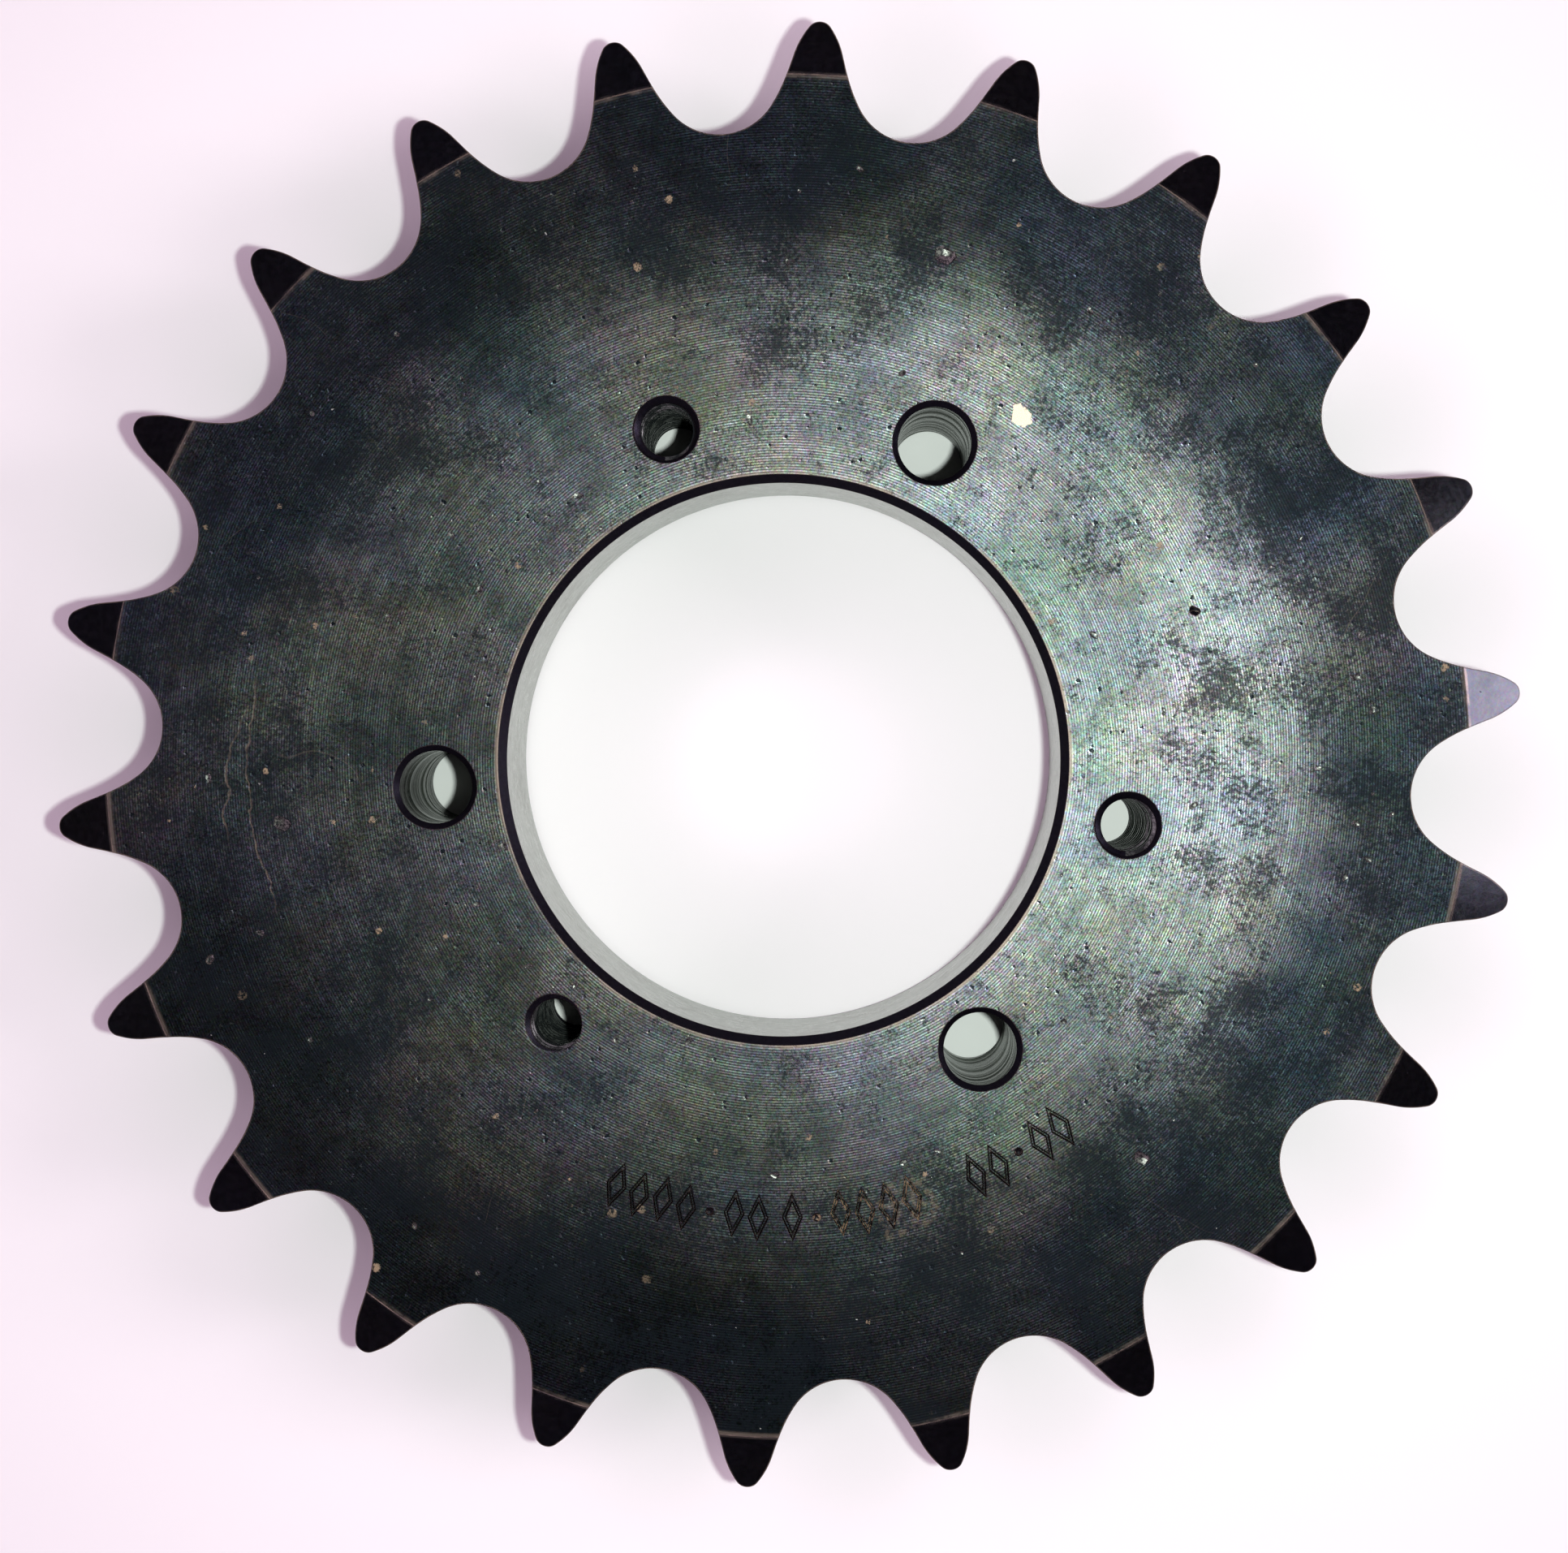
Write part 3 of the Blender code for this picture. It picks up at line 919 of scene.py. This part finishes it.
# A painted highlight in a band on one side of the face.
painted_highlight = times(tree, ramp(tree, facing(tree, place, PAINTED_HIGHLIGHT_SIDE, radius), 0.35, 0.92),
               ramp(tree, radius, 54, 45, 0.05, 1.0), ramp(tree, radius, 34.5, 40.5, 0.25, 1.0))
tone = times(tree, tone, blend(tree, painted_highlight, 1.0, PAINTED_HIGHLIGHT_TONE))
# A painted highlight by the bore.
tone = times(tree, tone, ramp(tree, radius, 36, 29, 1.0, BORE_PAINTED_HIGHLIGHT_TONE))
tone = times(tree, tone, ramp(tree, lines["Height"], 0, 0.9, *GROOVE_TONE))
tone = times(tree, tone, ramp(tree, lines["Tone"], 0.25, 0.75, *TURN_TONE))
speckle = patchy(tree, place, 3.2, 4, 0.85, 0.34, 0.66, *SPECKLE_TONE)
lively = patchy(tree, place, 0.10, 5, 0.7, 0.38, 0.60, 0.50, 1.0)
tone = times(tree, tone, blend(tree, lively, 1.0, speckle))
colour = toned(tree, colour, tone)

# Deep black blotches and soot, pits with a painted highlight on one side, and glints of bare steel.
cover = ramp(tree, radius, 34, 52, 0.30, 0.62)
deep = fill_group(tree, BLOTCHES, place, BLOTCH_SIZE, cover)["Mask"]
soot = fill_group(tree, BLOTCHES, shifted(tree, place, (3, 50, 9)), SOOT_SIZE, SOOT_COVER)["Mask"]
deep = sums(tree, "MAXIMUM", deep, soot)
colour = blend(tree, times(tree, deep, BLOTCH_STRENGTH), colour, OXIDE_DEEP)
worn = patchy(tree, place, 0.14, 4, 0.6, 0.38, 0.54, 0.15, 1)
pits = fill_group(tree, SPECKS, place, *PITS)["Mask"]
# Each pit gets a painted highlight: a lighter spot beside it, shifted to one side.
pit_painted_highlight = fill_group(tree, SPECKS, shifted(tree, place, PIT_PAINTED_HIGHLIGHT_SIDE), *PITS)["Mask"]
pit_painted_highlight = times(tree, sums(tree, "SUBTRACT", pit_painted_highlight, pits, clamp=True), worn)
pits = times(tree, pits, worn)
colour = blend(tree, pits, colour, OXIDE_DEEP)
colour = toned(tree, colour, sums(tree, "MULTIPLY_ADD", pit_painted_highlight, PIT_PAINTED_HIGHLIGHT_TONE, 1))
glints = fill_group(tree, SPECKS, shifted(tree, place, (7, 3, 1)), *GLINTS)["Mask"]
colour = blend(tree, times(tree, glints, GLINT_STRENGTH), colour, RUBBED_STEEL)

# Scratches, rust, a stain by the stamping, brown edges whose rings are partly a painted edge
# highlight, and one fleck of paint.
scratch = fill_group(tree, HAIRLINES, place, HAIRLINE_SPACING, HAIRLINE_WIDTH)["Mask"]
scratch = times(tree, scratch, HAIRLINE_STRENGTH)
for long_one in LONG_SCRATCHES:
    scratch = sums(tree, "MAXIMUM", scratch, long_scratch(tree, place, *long_one))
colour = blend(tree, times(tree, scratch, SCRATCH_BROWN), colour, EDGE_BROWN)
rust = fill_group(tree, SPECKS, shifted(tree, place, (31, 5, 0)), *RUST_SPECKS)["Mask"]
rust = times(tree, rust, patchy(tree, place, 2.6, 4, 0.7, 0.40, 0.54),
             patchy(tree, place, 0.07, 3, 0.6, 0.38, 0.48), RUST_STRENGTH)
stain = fill_group(tree, PATCH, place, STAIN_PLACE, STAIN_RADIUS, 3.2)["Mask"]
stain = times(tree, stain, patchy(tree, place, 1.1, 4, 0.7, 0.48, 0.60), STAIN_STRENGTH)
brown = sums(tree, "MAXIMUM", rust, stain)
colour = blend(tree, brown, colour, RUST)
corner = fill_group(tree, WORN_EDGE, FACE_WEAR)
edge = times(tree, corner["Mask"], ramp(tree, radius, 57, 59),
             patchy(tree, place, 0.5, 3, 0.6, 0.35, 0.6, 0.35, 1))
# Brown rings round the axis: partly rubbed wear, partly a painted edge highlight.
for at, width, strength in FACE_RUB_AND_HIGHLIGHT_RINGS:
    rub_and_highlight_mask = fill_group(tree, RUB_AND_HIGHLIGHT_RING, place, at, width)["Mask"]
    edge = sums(tree, "MAXIMUM", edge, times(tree, rub_and_highlight_mask, strength))
colour = blend(tree, edge, colour, EDGE_BROWN)
paint = fill_group(tree, PATCH, place, PAINT_PLACE, PAINT_RADIUS, 1.5)["Mask"]
colour = blend(tree, paint, colour, PAINT)

# Dirt is dull and not metal; grooves and grain stand up, pits and scratches go down.
dull = sums(tree, "MAXIMUM", brown, paint)
dirt = sums(tree, "MAXIMUM", dull, times(tree, edge, 0.7))
matt = sums(tree, "ADD", patchy(tree, place, 0.8, 5, 0.7, 0.3, 0.7, *FACE_ROUGHNESS),
            times(tree, sums(tree, "MAXIMUM", deep, dull), DIRT_ROUGHNESS))
feed(tree, surface, Base_Color=colour, Metallic=sums(tree, "SUBTRACT", 1, dirt), Roughness=matt)
relief = sums(tree, "ADD", lines["Height"], times(tree, noise(tree, place, 5.0, 3, 0.7), 0.9))
relief = sums(tree, "SUBTRACT", relief, scratch)
relief = sums(tree, "SUBTRACT", relief, times(tree, pits, 4))
relief = sums(tree, "ADD", relief, times(tree, dull, 3))
press(tree, surface, relief, GROOVE_DEPTH, corner["Normal"])


# ------------------------------------------------------------
# Black oxide on the rim. The chamfers and the hobbed tooth flanks are smoother than the turned
# faces, so their oxide is a plain deep black, rubbed brown along the edges.
# ------------------------------------------------------------

RIM_DARK, RIM_LIGHT = (0.023, 0.027, 0.032), (0.052, 0.057, 0.064)
RIM_TARNISH = 0.9
RIM_PITS = (1.1, 0.10, 0.35)
RIM_GLINTS, RIM_GLINT_STRENGTH = (2.4, 0.09, 0.2), 0.6
RIM_RING_WIDTH, RIM_RING_STRENGTH = 0.35, 0.5
RIM_ROUGHNESS = (0.15, 0.21)
RIM_GRAIN_DEPTH = 0.003 * MM

rim_oxide, tree, surface, place = new_finish("smooth_black_oxide")
colour = blend(tree, noise(tree, place, 0.3, 4, 0.6), RIM_DARK, RIM_LIGHT)
colour = vector(tree, "MULTIPLY", colour, fill_group(tree, TARNISH, place, RIM_TARNISH)["Color"])
pits = fill_group(tree, SPECKS, place, *RIM_PITS)["Mask"]
colour = blend(tree, pits, colour, OXIDE_DEEP)
glints = fill_group(tree, SPECKS, shifted(tree, place, (7, 3, 1)), *RIM_GLINTS)["Mask"]
colour = blend(tree, times(tree, glints, RIM_GLINT_STRENGTH), colour, RUBBED_STEEL)
corner = fill_group(tree, WORN_EDGE, FACE_WEAR)
edge = times(tree, corner["Mask"], patchy(tree, place, 0.5, 3, 0.6, 0.35, 0.6, 0.3, 1))
# The ring at the chamfer's start is partly rubbed wear and partly a painted edge highlight.
rub_and_highlight_mask = fill_group(tree, RUB_AND_HIGHLIGHT_RING, place, CHAMFER_START, RIM_RING_WIDTH)["Mask"]
edge = sums(tree, "MAXIMUM", edge, times(tree, rub_and_highlight_mask, RIM_RING_STRENGTH))
colour = blend(tree, edge, colour, EDGE_BROWN)
feed(tree, surface, Base_Color=colour, Metallic=sums(tree, "MULTIPLY_ADD", edge, -0.7, 1),
     Roughness=patchy(tree, place, 1.5, 4, 0.7, 0.3, 0.7, *RIM_ROUGHNESS))
grain = sums(tree, "SUBTRACT", noise(tree, place, 4, 4, 0.7), pits)
press(tree, surface, grain, RIM_GRAIN_DEPTH, corner["Normal"])


# ------------------------------------------------------------
# Bare bore. The taper is finished after blacking, so it is bright steel with fine tool lines and
# a few dark stains.
# ------------------------------------------------------------

BORE_STEEL, BORE_STAIN = (0.30, 0.325, 0.295), (0.15, 0.155, 0.13)
BORE_STAIN_SIZE, BORE_STAIN_COVER, BORE_STAIN_STRENGTH = 5.0, 0.45, 0.5
BORE_PITS = (1.6, 0.12, 0.3)
BORE_ROUGHNESS = (0.26, 0.36)
TOOL_LINES_PER_MM = 6
TOOL_LINE_DEPTH = 0.006 * MM

bare_steel, tree, surface, place = new_finish("bare_bore_steel")
stained = fill_group(tree, BLOTCHES, place, BORE_STAIN_SIZE, BORE_STAIN_COVER)["Mask"]
colour = blend(tree, times(tree, stained, BORE_STAIN_STRENGTH), BORE_STEEL, BORE_STAIN)
colour = blend(tree, fill_group(tree, SPECKS, place, *BORE_PITS)["Mask"], colour, OXIDE_DEEP)
feed(tree, surface, Base_Color=colour,
     Roughness=patchy(tree, place, 1.0, 4, 0.6, 0.3, 0.7, *BORE_ROUGHNESS))
surface.inputs["Metallic"].default_value = 1
height = put(tree, "ShaderNodeSeparateXYZ", place).outputs["Z"]
rings = line_noise(tree, times(tree, height, TOOL_LINES_PER_MM), 1, 3, 0.7)
press(tree, surface, rings, TOOL_LINE_DEPTH)


# ------------------------------------------------------------
# Countersinks, bore chamfer and stamping. Blacked with the faces but never rubbed, so they are
# dull and very dark, and the middle of the stamping still holds some brown residue.
# ------------------------------------------------------------

DULL_DARK, DULL_LIGHT = (0.006, 0.006, 0.010), (0.022, 0.022, 0.029)
DULL_TARNISH = 0.6
STRUCK_FROM, STRUCK_TONE = 41, 0.4
DULL_WEAR, DULL_WEAR_STRENGTH = 0.15 * MM, 0.3
RESIDUE_PLACE, RESIDUE_RADIUS, RESIDUE_STRENGTH = (5.0, -44.4, 19.0), 7.0, 0.8
DULL_ROUGHNESS = (0.32, 0.46)
DULL_GRAIN_DEPTH = 0.006 * MM

dull_black, tree, surface, place = new_finish("dull_black_oxide")
colour = blend(tree, noise(tree, place, 2.5, 4, 0.7), DULL_DARK, DULL_LIGHT)
colour = vector(tree, "MULTIPLY", colour, fill_group(tree, TARNISH, place, DULL_TARNISH)["Color"])
radius = from_axis(tree, place)
colour = toned(tree, colour, ramp(tree, radius, STRUCK_FROM - 0.5, STRUCK_FROM + 0.5, 1, STRUCK_TONE))
corner = fill_group(tree, WORN_EDGE, DULL_WEAR)
colour = blend(tree, times(tree, corner["Mask"], DULL_WEAR_STRENGTH), colour, EDGE_BROWN)
residue = times(tree, fill_group(tree, PATCH, place, RESIDUE_PLACE, RESIDUE_RADIUS, 1.5)["Mask"],
                patchy(tree, place, 1.6, 4, 0.7, 0.46, 0.56))
colour = blend(tree, times(tree, residue, RESIDUE_STRENGTH), colour, RUST)
feed(tree, surface, Base_Color=colour, Metallic=sums(tree, "SUBTRACT", 1, residue),
     Roughness=patchy(tree, place, 2.0, 4, 0.7, 0.3, 0.7, *DULL_ROUGHNESS))
press(tree, surface, noise(tree, place, 5, 4, 0.7), DULL_GRAIN_DEPTH, corner["Normal"])


# ------------------------------------------------------------
# Walls of the drilled and tapped holes. Brown-grey steel with the drill's spiral marks, partly
# blacked, and darker still in the threads.
# ------------------------------------------------------------

DRILLED_DARK, DRILLED_LIGHT, DRILLED_ROUGHNESS = (0.006, 0.008, 0.008), (0.15, 0.155, 0.14), 0.18
TAPPED_DARK, TAPPED_LIGHT, TAPPED_ROUGHNESS = (0.010, 0.012, 0.013), (0.13, 0.14, 0.135), 0.24
SPIRAL_LEAN = (0.35, 0.22)
SCORING_SCALE = 0.55
SCORING_DEPTH = 0.12 * MM
WALL_STAIN_SIZE, WALL_STAIN_COVER, WALL_STAIN_STRENGTH = 4.0, 0.62, 0.8
WALL_SHEEN, WALL_SHEEN_LEVEL = (0.18, 0.20, 0.18, 1), 0.2


def hole_wall(name, dark, light, rough):
    """Metal left by a drill, with spiral scoring and oily stains."""
    material, tree, surface, place = new_finish(name)
    split = put(tree, "ShaderNodeSeparateXYZ", place).outputs
    spiral = sums(tree, "MULTIPLY_ADD", split["Y"], SPIRAL_LEAN[1], split["Z"])
    spiral = sums(tree, "MULTIPLY_ADD", split["X"], SPIRAL_LEAN[0], spiral)
    scoring = line_noise(tree, spiral, SCORING_SCALE, 4, 0.66)
    stained = fill_group(tree, BLOTCHES, place, WALL_STAIN_SIZE, WALL_STAIN_COVER)["Mask"]
    colour = blend(tree, ramp(tree, scoring, 0.42, 0.58), dark, light)
    colour = blend(tree, times(tree, stained, WALL_STAIN_STRENGTH), colour, dark)
    feed(tree, surface, Base_Color=colour, Metallic=ramp(tree, scoring, 0.42, 0.58, 0.0, 0.9),
         Roughness=ramp(tree, scoring, 0.3, 0.7, rough, rough + 0.12))
    surface.inputs["Specular Tint"].default_value = WALL_SHEEN
    surface.inputs["Specular IOR Level"].default_value = WALL_SHEEN_LEVEL
    press(tree, surface, scoring, SCORING_DEPTH)
    return material


drilled_steel = hole_wall("drilled_steel", DRILLED_DARK, DRILLED_LIGHT, DRILLED_ROUGHNESS)
tapped_steel = hole_wall("tapped_steel", TAPPED_DARK, TAPPED_LIGHT, TAPPED_ROUGHNESS)


# ------------------------------------------------------------
# Dents. A knock breaks the blacking and leaves a scuffed hollow of mottled grey steel.
# ------------------------------------------------------------

DENT_DARK, DENT_LIGHT = (0.025, 0.026, 0.027), (0.14, 0.14, 0.13)
DENT_ROUGHNESS = (0.28, 0.42)

dented_steel, tree, surface, place = new_finish("dented_steel")
colour = blend(tree, patchy(tree, place, 4, 4, 0.7, 0.4, 0.6), DENT_DARK, DENT_LIGHT)
feed(tree, surface, Base_Color=colour,
     Roughness=patchy(tree, place, 6, 3, 0.7, 0.3, 0.7, *DENT_ROUGHNESS))
surface.inputs["Metallic"].default_value = 1


# ------------------------------------------------------------
# Finish by place. Each face of the steel takes the finish of the cut that made it, and the
# round cuts are shaded smooth up to their corners.
# ------------------------------------------------------------

FINISHES = (turned_oxide, rim_oxide, bare_steel, dull_black, drilled_steel, tapped_steel,
            dented_steel)
TURNED, RIM, BARE, DULL, DRILLED, TAPPED, DENTED = range(7)
FLAT, NEARLY_FLAT = 0.9999, 0.99
BORE_CHAMFER_TILT, BORE_TILT = 0.95, 0.3
COUNTERSINK_TILT, FLANK_TILT = 0.4, 0.5
CHAMFER_SLACK, STAMP_SLACK = 0.05 * MM, 0.3 * MM
DEEPEST_MARK = 0.4 * MM
SMOOTH_UNDER = radians(16)


def finish_at(centre, normal):
    """Which cut made the face at this place."""
    spot = complex(centre.x, centre.y)
    from_end = min(plain_face - centre.z, centre.z - hub_face)
    tilt = abs(normal.z)
    if abs(spot) < bore_hub_end + BORE_CHAMFER and tilt < BORE_CHAMFER_TILT:
        return BARE if tilt < BORE_TILT else DULL
    for holes, rim, wall, depth in (
            (drilled_places, DRILLED_RIM_RADIUS, DRILLED, DRILLED_RIM_RADIUS - DRILLED_RADIUS),
            (tapped_places, TAPPED_RIM_RADIUS, TAPPED, TAPPED_RIM_RADIUS - TAP_CORE_RADIUS)):
        if any(abs(spot - hole) < rim + 2 * RAGGED for hole in holes) and tilt < NEARLY_FLAT:
            return DULL if from_end < depth and tilt > COUNTERSINK_TILT else wall
    if abs(spot) > CHAMFER_START_RADIUS - CHAMFER_SLACK and tilt < NEARLY_FLAT:
        return RIM
    if tilt < FLANK_TILT and from_end > DEEPEST_MARK:
        return RIM
    if centre.z < plate_under + MM or tilt > FLAT:
        return TURNED
    stamped = abs(abs(spot) - STAMP_RADIUS) < STAMP_HALF_TALL + STAMP_STROKE + STAMP_SLACK
    return DULL if stamped else DENTED


for finish in FINISHES:
    sprocket.data.materials.append(finish)
for face in sprocket.data.polygons:
    face.material_index = finish_at(face.center, face.normal)
only(sprocket)
bpy.ops.object.shade_smooth_by_angle(angle=SMOOTH_UNDER)
for face in sprocket.data.polygons:
    if abs(face.normal.z) > FLAT:
        face.use_smooth = False

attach(sprocket, "root")
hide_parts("sprocket")
